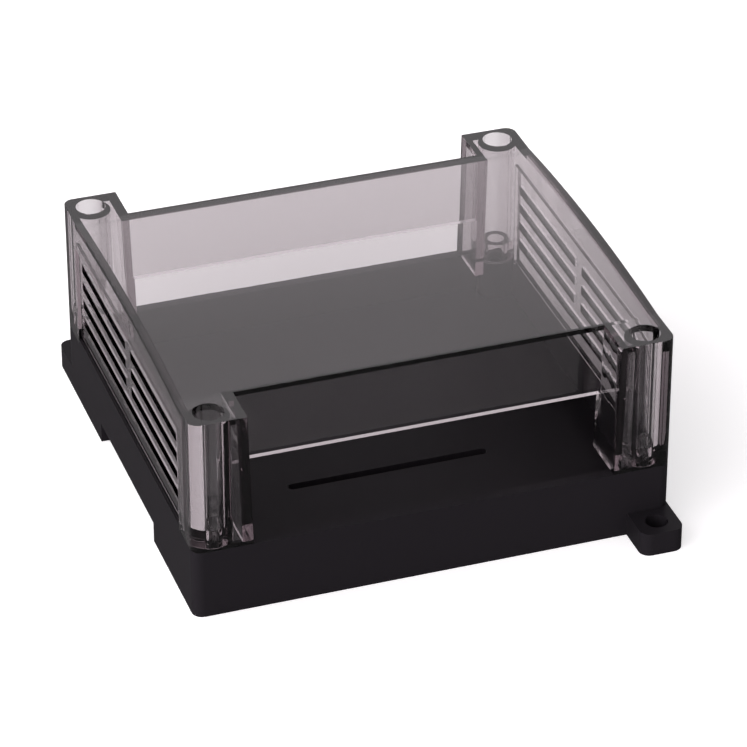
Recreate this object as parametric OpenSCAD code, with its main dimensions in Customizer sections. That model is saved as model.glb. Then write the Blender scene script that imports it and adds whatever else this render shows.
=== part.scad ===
// Enclosure for a small circuit board, made to snap onto a 35 mm top-hat rail.
// A clear smoked cover with four hollow corner posts stands on a black base.
// Frame: the origin is the middle of the footprint, on the plane the base stands on.
// +X runs along the rail, +Y towards the release clip, +Z away from the rail.

/* [Case] */
// Length along the rail
case_l = 90; // [80:1:160]
// Width across the rail
case_w = 83.3; // [76:0.1:120]
// Height of the corner posts above the mounting plane
case_h = 40; // [36:0.5:60]
// Rise of the arched roof above the posts
roof_rise = 1.4; // [0.6:0.1:2.4]
// Radius of the upright outside corners
corner_r = 2; // [1:0.1:3]

/* [Cover] */
// Wall of the clear cover
cover_wall = 1.7; // [1.4:0.1:2]
// Width of a corner post at its top, along the rail
post_w = 10.4; // [9.5:0.1:13]
// How much wider a post is at its foot
post_draft = 0.7; // [0.3:0.1:1]
// Depth of the wiring recesses between the posts
recess_d = 8.56; // [8.2:0.1:11]
// Height of the bottom edge of the recess walls
recess_wall_z = 25.7; // [22:0.1:28]

/* [Screws] */
// Distance of a screw from the end of the case
screw_in_x = 4.5; // [4.3:0.1:5.2]
// Distance of a screw from the side of the case
screw_in_y = 3.86; // [3.8:0.02:4.6]
// Bore of a screw well
well_d = 5.6; // [5:0.1:6]
// Wall of a screw well
well_wall = 0.9; // [0.8:0.1:1.2]
// Height of the floor of a screw well
well_floor_z = 17.5; // [16.5:0.1:20]
// Clearance hole for a cover screw
screw_hole_d = 3.2; // [3:0.1:3.6]
// Pilot hole for a cover screw in the base
pilot_d = 2.5; // [2.2:0.1:2.8]
// Depth of a pilot hole
pilot_depth = 8; // [6:0.5:9]
// Length of the spigot under a screw well
spigot_l = 0.8; // [0.5:0.1:1.2]
// Clearance round a spigot
spigot_gap = 0.15; // [0.1:0.05:0.25]

/* [Vents] */
// Depth of the sunk vent panels
panel_sink = 0.6; // [0.4:0.1:0.8]
// Distance from the top of a panel to the top of the case
panel_down = 5.5; // [4.5:0.1:7]
// Rows of slots in a panel
vent_rows = 4; // [1:1:4]
// Height of a slot
vent_h = 1.85; // [1.2:0.05:2.2]
// Distance from row to row
vent_pitch = 3.9; // [3.4:0.05:4.2]
// Plain margin above the top row
vent_top = 2.35; // [2:0.05:3]
// Plain margin at the ends of the rows
vent_end = 2.1; // [1.8:0.1:6]
// Width of the bar in the middle of the upper rows
vent_bar = 3.4; // [2:0.1:6]

/* [Base] */
// Height of the base at the posts
base_h = 13.6; // [12.6:0.1:15]
// Extra height of the long sides between the posts
side_rise = 0.9; // [0.5:0.1:1.5]
// Outside wall of the base
base_wall = 2; // [1.6:0.1:2.4]
// Thickness of the floor
floor_t = 1.8; // [1.5:0.1:2.2]
// Width of a screw boss
boss_d = 7.2; // [6.6:0.1:7.6]

/* [Rail] */
// Width of the rail that the channel fits
rail_w = 35; // [34.5:0.1:35.5]
// Play of the rail in the channel
rail_play = 0.1; // [0.05:0.05:0.3]
// Depth of the channel
channel_d = 4; // [3.6:0.1:4.6]
// Offset of the channel towards the clip
channel_off = 1.65; // [0:0.05:3]
// Length of the fixed lip
lip_l = 38; // [20:1:60]
// Reach of the lips under the rail
lip_reach = 1.4; // [1:0.1:2]
// Thickness of the lips
lip_t = 2.6; // [2.2:0.1:2.8]
// Width of the moulding slot above the fixed lip
lip_slot_w = 1.8; // [1.5:0.1:2.4]

/* [Clip] */
// Width of the clip between its flanges
clip_w = 16; // [12:1:22]
// Travel of the clip
clip_travel = 4; // [2.5:0.5:5]
// How far the clip's tail stands out behind the case
tail_out = 5; // [3:0.5:7]
// Thickness of the clip
clip_t = 3.2; // [2.8:0.1:3.4]
// Running gap round the clip
clip_gap = 0.25; // [0.15:0.05:0.4]

/* [Ears] */
// Width of an ear
ear_w = 8.2; // [8:0.1:12]
// How far an ear stands out
ear_out = 7.75; // [7.5:0.05:10]
// Height of an ear
ear_h = 4.6; // [3:0.1:6]
// Screw hole through an ear
ear_hole_d = 4.2; // [3.2:0.1:4.4]
// Width of a clip flange
flange_w = 1.6; // [1.2:0.1:2.2]
// Height of the underside of the flanges
flange_z = 2; // [1.8:0.1:2.4]

/* [Hidden] */
$fn = 64;
smoke = [0.36, 0.33, 0.34, 0.45];
black = [0.13, 0.12, 0.13];
grey = [0.24, 0.23, 0.24];

// How far a cut runs past the faces that it opens
over = 1;
half_l = case_l / 2;
half_w = case_w / 2;

// Planes of the wiring recesses and the edges of the posts
recess_y = half_w - recess_d;
post_top_x = half_l - post_w;
post_foot_x = post_top_x - post_draft;

// Heights of the joint between the posts, and of the vent panels
side_z = base_h + side_rise;
panel_z = case_h - panel_down;
panel_x = half_l - panel_sink;

// Arc of the roof, from one flat border to the other: its radius and the height of its axis
roof_border = 0.6;
roof_span = recess_y - roof_border;
roof_r = (pow(roof_span, 2) + pow(roof_rise, 2)) / (2 * roof_rise);
roof_axis_z = case_h + roof_rise - roof_r;

// Cover screws, their wells and their spigots
screw_x = half_l - screw_in_x;
screw_y = half_w - screw_in_y;
tube_d = well_d + 2 * well_wall;
spigot_d = screw_hole_d + 2 * well_wall;
spigot_seat = spigot_l + spigot_gap;

// Room of the base
floor_z = channel_d + floor_t;
base_in_x = half_l - base_wall;
base_in_y = half_w - base_wall;

// Rail channel: its two long edges
channel_w = rail_w + rail_play;
channel_front = channel_off - channel_w / 2;
channel_back = channel_off + channel_w / 2;
lip_end_play = 0.25;

// Ribs under the floor
rib_t = 1.5;
rib_x = 24;

// Clip: its sliding section, its stop noses and the guides round it
clip_top = channel_d - clip_gap;
clip_bottom = clip_top - clip_t;
flange_x = clip_w / 2 + flange_w;
guide_x = flange_x + clip_gap;
guide_t = 1.6;
nose_w = 2;
nose_out = 0.9;
nose_back = 9;
stop_y = base_in_y - nose_back - clip_travel;
arm_slit = 0.9;
arm_l = 9;
tail_slot = [6, 1.8];
tail_rim = 1.6;
clip_y0 = channel_back - lip_reach;
clip_y1 = half_w + tail_out;
clip_step = channel_back + clip_gap;

ear_y = half_w + ear_out;
corners = [for (sx = [-1, 1], sy = [-1, 1]) [sx, sy]];

// Flat outline with round corners
module rounded(l, w, r) {
    square([l - 2 * r, w], center = true);
    square([l, w - 2 * r], center = true);
    for (c = corners)
        translate([c[0] * (l / 2 - r), c[1] * (w / 2 - r)]) circle(r);
}

// Box between two corners
module block(from, to) {
    translate(from) cube(to - from);
}

// One shape at the front and its mirror at the back
module front_and_back() {
    children();
    mirror([0, 1, 0]) children();
}

// One shape at the right end and its mirror at the left end
module both_ends() {
    children();
    mirror([1, 0, 0]) children();
}

// Space between two posts, which widens with height by the draft of the posts
// grow moves its sides out, y0 is where it starts and top how high it goes
module between_posts(grow, y0, top) {
    slope = post_draft / (case_h - base_h);
    foot = post_foot_x + grow - slope * over;
    head = post_foot_x + grow + slope * (top - base_h);
    translate([0, half_w + over, 0])
        rotate([90, 0, 0])
            linear_extrude(half_w + over - y0)
                polygon([[-foot, base_h - over], [foot, base_h - over], [head, top], [-head, top]]);
}

// Arched slab under the roof line, lowered by drop, as long as l and as wide as w
module arch(drop, l, w) {
    intersection() {
        translate([-l / 2, 0, roof_axis_z])
            rotate([0, 90, 0]) cylinder(r = roof_r - drop, h = l, $fn = 360);
        block([-l / 2, -w / 2, base_h], [l / 2, w / 2, case_h + roof_rise + over]);
    }
}

// Outside of the cover without its recesses
module cover_outside() {
    translate([0, 0, base_h]) linear_extrude(case_h - base_h) rounded(case_l, case_w, corner_r);
    arch(0, case_l, 2 * recess_y);
}

// Hollow of the cover: the main room and the insides of the four posts
module cover_inside() {
    in_l = case_l - 2 * cover_wall;
    in_w = case_w - 2 * cover_wall;
    in_r = max(corner_r - cover_wall, 0.3);
    difference() {
        union() {
            translate([0, 0, base_h - over])
                linear_extrude(case_h - cover_wall - base_h + over) rounded(in_l, in_w, in_r);
            arch(cover_wall, in_l, in_w);
        }
        front_and_back() between_posts(cover_wall, recess_y - cover_wall, case_h + over);
        both_ends() panel_backing();
    }
}

// The wall steps in behind a vent panel, so that it keeps its thickness
module panel_backing() {
    edge = recess_y + panel_sink;
    block([panel_x - cover_wall, -edge, base_h - over], [half_l, edge, panel_z + panel_sink]);
}

// Sunk panel on one end, open at the bottom down to the joint
module panel_cut() {
    block([panel_x, -recess_y, base_h - over], [half_l + over, recess_y, panel_z]);
}

// The end walls stop at the higher side of the base
module foot_cut() {
    block([panel_x - cover_wall - over, -recess_y, base_h - over], [half_l + over, recess_y, side_z]);
}

// Rows of slots through a panel; the lowest row has no bar
module vent_slots() {
    end_y = recess_y - vent_end;
    x0 = panel_x - cover_wall - over;
    for (row = [0 : vent_rows - 1]) {
        top = panel_z - vent_top - row * vent_pitch;
        start_y = row < vent_rows - 1 ? vent_bar / 2 : -over;
        front_and_back() block([x0, start_y, top - vent_h], [half_l, end_y, top]);
    }
}

// Tubes that carry the screw heads, and their spigots
module well_tubes() {
    for (c = corners) translate([c[0] * screw_x, c[1] * screw_y, 0]) {
        translate([0, 0, base_h]) cylinder(d = tube_d, h = case_h - base_h);
        translate([0, 0, base_h - spigot_l]) cylinder(d = spigot_d, h = spigot_l + over);
    }
}

module well_bores() {
    for (c = corners) translate([c[0] * screw_x, c[1] * screw_y, 0]) {
        translate([0, 0, well_floor_z]) cylinder(d = well_d, h = case_h - well_floor_z + over);
        translate([0, 0, base_h - spigot_l - over]) cylinder(d = screw_hole_d, h = well_floor_z);
    }
}

// Space of one wiring recess, and the terminal mouth below the recess wall
module recess_cut() {
    mouth_y = recess_y - cover_wall - over;
    intersection() {
        between_posts(0, mouth_y, case_h + over);
        union() {
            block([-half_l, recess_y, 0], [half_l, half_w + over, case_h + over]);
            block([-half_l, mouth_y, 0], [half_l, half_w + over, recess_wall_z]);
        }
    }
}

module cover() {
    color(smoke) difference() {
        union() {
            difference() {
                cover_outside();
                cover_inside();
                front_and_back() recess_cut();
                both_ends() panel_cut();
                both_ends() foot_cut();
                both_ends() vent_slots();
            }
            well_tubes();
        }
        well_bores();
    }
}

// Walls of the base: full outline, with the long sides higher between the posts
module base_outside() {
    linear_extrude(base_h) rounded(case_l, case_w, corner_r);
    both_ends() block([base_in_x, -recess_y, 0], [half_l, recess_y, side_z]);
}

// Room above the floor
module base_room() {
    room_r = max(corner_r - base_wall, 0.5);
    translate([0, 0, floor_z])
        linear_extrude(side_z) rounded(2 * base_in_x, 2 * base_in_y, room_r);
}

// Pocket under the floor
module pocket(x0, x1, y0) {
    block([x0, y0, -over], [x1, base_in_y, channel_d]);
}

// Pockets on one side of the channel, with ribs left between them
module pocket_row(y0) {
    pocket(-base_in_x, -rib_x - rib_t / 2, y0);
    pocket(-rib_x + rib_t / 2, rib_x - rib_t / 2, y0);
    pocket(rib_x + rib_t / 2, base_in_x, y0);
}

module screw_bosses() {
    for (c = corners) translate([c[0] * screw_x, c[1] * screw_y, 0]) cylinder(d = boss_d, h = base_h);
}

module boss_bores() {
    for (c = corners) translate([c[0] * screw_x, c[1] * screw_y, base_h]) {
        translate([0, 0, -spigot_seat]) cylinder(d = spigot_d + 2 * spigot_gap, h = spigot_seat + over);
        translate([0, 0, -pilot_depth]) cylinder(d = pilot_d, h = pilot_depth);
    }
}

// Lip that hooks under the front edge of the rail
module fixed_lip() {
    block([-lip_l / 2, channel_front - base_wall, 0], [lip_l / 2, channel_front + lip_reach, lip_t]);
}

// Slot that the mould needs above the lip
module lip_slot() {
    run = lip_l + 2 * lip_end_play - lip_slot_w;
    y = channel_front + lip_reach - lip_slot_w / 2;
    translate([0, y, lip_t]) linear_extrude(floor_z - lip_t + over) {
        square([run, lip_slot_w], center = true);
        for (s = [-1, 1]) translate([s * run / 2, 0]) circle(d = lip_slot_w);
    }
}

// Guides that hold the flanges of the clip up against the floor
module clip_guides() {
    both_ends() {
        block([guide_x, channel_back, 0], [guide_x + guide_t, base_in_y, channel_d]);
        block([clip_w / 2 + clip_gap, channel_back, 0], [guide_x, base_in_y, flange_z - clip_gap]);
    }
}

// Windows in the guides, in which the stop noses run
module guide_windows() {
    both_ends()
        block([guide_x - over / 2, stop_y - clip_gap, flange_z - clip_gap],
            [guide_x + guide_t + over, stop_y + nose_w + clip_travel + clip_gap, channel_d]);
}

// Mouths for the clip through the channel wall and the back wall
module clip_mouths() {
    block([-clip_w / 2 - clip_gap, channel_back - over, -over], [clip_w / 2 + clip_gap, half_w + over, channel_d]);
    block([-guide_x, channel_back - over, flange_z - clip_gap], [guide_x, half_w + over, channel_d]);
}

// Ear with a screw hole, flush with the right end
module ear() {
    root_y = half_w - 2 * corner_r;
    difference() {
        translate([half_l - ear_w / 2, -(ear_y + root_y) / 2, 0])
            linear_extrude(ear_h) rounded(ear_w, ear_y - root_y, corner_r);
        block([0, -root_y, -over], [base_in_x, -half_w + base_wall, ear_h + over]);
    }
}

module ear_hole() {
    translate([half_l - ear_w / 2, -half_w - ear_out / 2, -over]) cylinder(d = ear_hole_d, h = ear_h + 2 * over);
}

// One shape and the same turned half round
module twice() {
    children();
    rotate(180) children();
}

module base() {
    color(black) difference() {
        union() {
            difference() {
                base_outside();
                base_room();
                block([-half_l - over, channel_front, -over], [half_l + over, channel_back, channel_d]);
                mirror([0, 1, 0]) pocket_row(-channel_front + base_wall);
                pocket_row(channel_back + base_wall);
            }
            screw_bosses();
            fixed_lip();
            clip_guides();
            twice() ear();
        }
        lip_slot();
        boss_bores();
        clip_mouths();
        guide_windows();
        twice() ear_hole();
    }
}

// Side view of the clip, with a sloped nose that rides over the edge of the rail
module clip_profile() {
    polygon([
        [clip_y0, lip_t],
        [clip_y0, (lip_t + clip_bottom) / 2],
        [clip_y0 + lip_reach, clip_bottom],
        [clip_y1, clip_bottom],
        [clip_y1, clip_top],
        [clip_step, clip_top],
        [clip_step, lip_t]
    ]);
}

module rail_clip() {
    color(grey) difference() {
        union() {
            translate([-clip_w / 2, 0, 0]) rotate([90, 0, 90]) linear_extrude(clip_w) clip_profile();
            block([-flange_x, clip_step, flange_z], [flange_x, clip_y1, clip_top]);
            block([-guide_x - nose_out, stop_y, flange_z], [guide_x + nose_out, stop_y + nose_w, clip_top]);
        }
        // Slits that leave a springy arm behind each stop nose
        both_ends()
            block([clip_w / 2 - 2 * arm_slit, stop_y - arm_l / 2, -over],
                [clip_w / 2 - arm_slit, stop_y + nose_w + arm_l / 2, channel_d]);
        // Slot for a screwdriver in the tail
        block([-tail_slot[0] / 2, clip_y1 - tail_rim - tail_slot[1], -over],
            [tail_slot[0] / 2, clip_y1 - tail_rim, channel_d]);
    }
}

cover();
base();
rail_clip();
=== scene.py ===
"""Rail-mount circuit enclosure: a clear smoked cover on a black base."""
import bpy
import math
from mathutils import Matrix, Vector


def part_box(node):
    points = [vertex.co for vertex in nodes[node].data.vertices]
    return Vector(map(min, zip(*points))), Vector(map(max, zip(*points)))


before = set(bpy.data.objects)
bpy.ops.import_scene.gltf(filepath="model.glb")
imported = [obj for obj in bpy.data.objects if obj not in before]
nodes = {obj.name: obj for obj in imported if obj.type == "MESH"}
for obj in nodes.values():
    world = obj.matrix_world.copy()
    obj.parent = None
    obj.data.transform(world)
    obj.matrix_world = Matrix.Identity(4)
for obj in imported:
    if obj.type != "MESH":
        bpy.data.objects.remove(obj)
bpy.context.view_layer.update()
cover_high = Vector(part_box("cover")[1])


# --- Plastic values ---------------------------------------------------------

BLACK = "1f1d20"
BLACK_ROUGHNESS = 0.35
BLACK_SHINE = 0.04
GRAIN_SCALE = 700
GRAIN_STRENGTH = 0.05
SMOKE = "c9c0c4"
SMOKE_DENSITY = 350
CLEAR_IOR = 1.49
WAVE_SCALE = 200
WAVE_EVERYWHERE = 0.02
WAVE_ON_END_WALLS = 0.25
RELIEF_HEIGHT = 0.0001

# Where the vent slots lie in the cover's end walls: depth from the outside, half length, heights
VENT_DEPTH = 0.0024
VENT_END = 0.0311
VENT_LOW = 0.0185
VENT_HIGH = 0.0322
UNTINTED = (1, 1, 1, 1)
# Painted shade: the vent slots' cut faces are coloured near black to stand in for the shade inside the
# slots
SLOT_PAINTED_SHADE = (0.02, 0.02, 0.02, 1)


# --- Stage values -----------------------------------------------------------

FLOOR_SIZE = 6.0
FLOOR_PAPER = (0.86, 0.86, 0.86, 1)
FLOOR_MIRRORED = (0.2, 0.2, 0.2, 1)
FLOOR_ROUGHNESS = 0.9
FLOOR_GLOW = 0.5
FLOOR_GLOW_THROUGH = 0.12

# Each side is a direction and the dot products between which its level rises from least to most
EYE_LEVEL = 1.0
BRIGHT_SIDE = (-0.15, 0.75, 0.65)
BRIGHT_ENDS = (-0.5, 0.6)
BRIGHT_LEVELS = (0.02, 1.08)
LIT_SIDE = (-1.0, -0.2, -0.3)
LIT_ENDS = (-0.2, 1.0)
LIT_LEVELS = (0.3, 5.0)
AIR_TINT = (1.0, 0.955, 0.985, 1)

# Camera angles are in degrees round the aim point and above the floor
CAMERA_TURN = -18.85
CAMERA_RISE = 31.91
CAMERA_AWAY = 0.7591
CAMERA_AIM = (0.00266, 0.00056, 0.01649)
CAMERA_LENS = 197.2
CAMERA_SENSOR = 36
CAMERA_NEAR = 0.01


# --- Small helpers ----------------------------------------------------------

def new_material(name):
    """An empty node material, with its Principled shader."""
    mat = bpy.data.materials.new(name)
    mat.use_nodes = True
    return mat, mat.node_tree.nodes, mat.node_tree.links, mat.node_tree.nodes["Principled BSDF"]


def dress(obj, mat):
    """Gives a piece one material."""
    obj.data.materials.clear()
    obj.data.materials.append(mat)


def linear(srgb):
    """A display colour, written in hex, as linear values."""
    parts = [int(srgb[i:i + 2], 16) / 255 for i in (0, 2, 4)]
    return tuple(c / 12.92 if c < 0.04045 else ((c + 0.055) / 1.055) ** 2.4 for c in parts) + (1.0,)


def feed(links, socket, value):
    """Links the socket where the value is another socket, and otherwise keeps the value in it."""
    if isinstance(value, bpy.types.NodeSocket):
        links.new(value, socket)
    else:
        socket.default_value = value


def math_node(nds, links, kind, *values):
    """One Math node, fed with sockets or numbers."""
    node = nds.new("ShaderNodeMath")
    node.operation = kind
    for socket, value in zip(node.inputs, values):
        feed(links, socket, value)
    return node.outputs["Value"]


def mix_node(nds, links, kind, factor, first, second):
    """One Mix node of floats or colours, from first to second as the factor rises."""
    node = nds.new("ShaderNodeMix")
    node.data_type = kind
    links.new(factor, node.inputs["Factor"])
    feed(links, node.inputs["A"], first)
    feed(links, node.inputs["B"], second)
    return node.outputs["Result"]


def split(nds, links, vector):
    """The X, Y and Z of a vector socket."""
    node = nds.new("ShaderNodeSeparateXYZ")
    links.new(vector, node.inputs["Vector"])
    return node.outputs


def relief(nds, links, coord, scale, strength, shader):
    """Shallow noise relief on a shader; strength is a number or a socket."""
    noise = nds.new("ShaderNodeTexNoise")
    noise.inputs["Scale"].default_value = scale
    links.new(coord.outputs["Object"], noise.inputs["Vector"])
    bump = nds.new("ShaderNodeBump")
    bump.inputs["Distance"].default_value = RELIEF_HEIGHT
    feed(links, bump.inputs["Strength"], strength)
    links.new(noise.outputs["Fac"], bump.inputs["Height"])
    links.new(bump.outputs["Normal"], shader.inputs["Normal"])


# --- Finishes ---------------------------------------------------------------

def black_moulding():
    """Black ABS, nearly matt, with a faint moulded grain."""
    mat, nds, links, shader = new_material("black_moulding")
    shader.inputs["Base Color"].default_value = linear(BLACK)
    shader.inputs["Roughness"].default_value = BLACK_ROUGHNESS
    shader.inputs["Specular IOR Level"].default_value = BLACK_SHINE
    coord = nds.new("ShaderNodeTexCoord")
    relief(nds, links, coord, GRAIN_SCALE, GRAIN_STRENGTH, shader)
    return mat


def slot_shade_mask(nds, links, place, facing):
    """Mask for the painted slot shade: 1 on the cut faces inside the end walls' vent slots, 0 on the
    rest of the cover.
    """
    from_middle = math_node(nds, links, "ABSOLUTE", place["X"])
    in_wall = math_node(nds, links, "GREATER_THAN", from_middle, cover_high.x - VENT_DEPTH)
    in_length = math_node(nds, links, "COMPARE", place["Y"], 0.0, VENT_END)
    in_height = math_node(nds, links, "COMPARE", place["Z"],
                          (VENT_LOW + VENT_HIGH) / 2, (VENT_HIGH - VENT_LOW) / 2)
    cut = math_node(nds, links, "COMPARE", facing["X"], 0.0, 0.5)
    mask = math_node(nds, links, "MULTIPLY", in_wall, in_length)
    mask = math_node(nds, links, "MULTIPLY", mask, in_height)
    return math_node(nds, links, "MULTIPLY", mask, cut)


def smoked_polycarbonate():
    """Polished clear plastic, tinted through its thickness, wavy on the end walls, with painted shade
    (near black) on the cut faces of the slots.
    """
    mat, nds, links, shader = new_material("smoked_polycarbonate")
    shader.inputs["Roughness"].default_value = 0.0
    shader.inputs["IOR"].default_value = CLEAR_IOR
    shader.inputs["Transmission Weight"].default_value = 1.0
    coord = nds.new("ShaderNodeTexCoord")
    place = split(nds, links, coord.outputs["Object"])
    facing = split(nds, links, coord.outputs["Normal"])
    # Painted shade: the slots' cut faces take the near-black colour, and the rest of the cover stays
    # clear
    colour = mix_node(nds, links, "RGBA", slot_shade_mask(nds, links, place, facing), UNTINTED, SLOT_PAINTED_SHADE)
    links.new(colour, shader.inputs["Base Color"])
    sideways = math_node(nds, links, "ABSOLUTE", facing["X"])
    wave = math_node(nds, links, "MULTIPLY_ADD", sideways, WAVE_ON_END_WALLS, WAVE_EVERYWHERE)
    relief(nds, links, coord, WAVE_SCALE, wave, shader)
    smoke = nds.new("ShaderNodeVolumeAbsorption")
    smoke.inputs["Color"].default_value = linear(SMOKE)
    smoke.inputs["Density"].default_value = SMOKE_DENSITY
    links.new(smoke.outputs["Volume"], nds["Material Output"].inputs["Volume"])
    return mat


# --- Stage, light and camera ------------------------------------------------

def white_floor():
    """White paper floor that keeps a soft shadow, and is grey in what mirrors it."""
    bpy.ops.mesh.primitive_plane_add(size=FLOOR_SIZE, location=(0, 0, 0))
    floor = bpy.context.object
    floor.name = "floor"
    mat, nds, links, shader = new_material("floor_paper")
    shader.inputs["Roughness"].default_value = FLOOR_ROUGHNESS
    shader.inputs["Specular IOR Level"].default_value = 0.0
    shader.inputs["Emission Color"].default_value = (1, 1, 1, 1)
    path = nds.new("ShaderNodeLightPath").outputs
    mirrored = math_node(nds, links, "GREATER_THAN", path["Is Glossy Ray"], path["Is Transmission Ray"])
    paper = mix_node(nds, links, "RGBA", mirrored, FLOOR_PAPER, FLOOR_MIRRORED)
    links.new(paper, shader.inputs["Base Color"])
    straight = math_node(nds, links, "MULTIPLY", path["Is Camera Ray"], FLOOR_GLOW)
    through = math_node(nds, links, "MULTIPLY", path["Is Transmission Ray"], FLOOR_GLOW_THROUGH)
    links.new(math_node(nds, links, "ADD", straight, through), shader.inputs["Emission Strength"])
    dress(floor, mat)


def level_by_side(nds, links, coord, side, ends, levels):
    """A light level that rises toward one side."""
    facing = nds.new("ShaderNodeVectorMath")
    facing.operation = "DOT_PRODUCT"
    facing.inputs[1].default_value = Vector(side).normalized()
    links.new(coord.outputs["Generated"], facing.inputs[0])
    level = nds.new("ShaderNodeMapRange")
    level.interpolation_type = "SMOOTHSTEP"
    level.inputs["From Min"].default_value, level.inputs["From Max"].default_value = ends
    level.inputs["To Min"].default_value, level.inputs["To Max"].default_value = levels
    links.new(facing.outputs["Value"], level.inputs["Value"])
    return level.outputs["Result"]


def studio_surround():
    """White to the eye; lights from the left; what mirrors it sees it bright behind and dim in front."""
    world = bpy.data.worlds.new("surround")
    bpy.context.scene.world = world
    world.use_nodes = True
    nds = world.node_tree.nodes
    links = world.node_tree.links
    coord = nds.new("ShaderNodeTexCoord")
    path = nds.new("ShaderNodeLightPath").outputs
    lit = level_by_side(nds, links, coord, LIT_SIDE, LIT_ENDS, LIT_LEVELS)
    bright = level_by_side(nds, links, coord, BRIGHT_SIDE, BRIGHT_ENDS, BRIGHT_LEVELS)
    level = mix_node(nds, links, "FLOAT", path["Is Diffuse Ray"], EYE_LEVEL, lit)
    level = mix_node(nds, links, "FLOAT", path["Is Glossy Ray"], level, bright)
    links.new(level, nds["Background"].inputs["Strength"])
    nds["Background"].inputs["Color"].default_value = AIR_TINT


def camera():
    """Long lens from the front left, above."""
    cam = bpy.data.cameras.new("camera")
    cam.sensor_width = CAMERA_SENSOR
    cam.lens = CAMERA_LENS
    cam.clip_start = CAMERA_NEAR
    obj = bpy.data.objects.new("camera", cam)
    bpy.context.scene.collection.objects.link(obj)
    turn, rise = math.radians(CAMERA_TURN), math.radians(CAMERA_RISE)
    away = Vector((math.sin(turn) * math.cos(rise), -math.cos(turn) * math.cos(rise), math.sin(rise)))
    obj.location = Vector(CAMERA_AIM) + CAMERA_AWAY * away
    obj.rotation_euler = away.to_track_quat("Z", "Y").to_euler()
    bpy.context.scene.camera = obj


dress(nodes["base"], black_moulding())
dress(nodes["rail_clip"], black_moulding())
dress(nodes["cover"], smoked_polycarbonate())
white_floor()
studio_surround()
camera()
bpy.context.scene.view_settings.view_transform = "Standard"
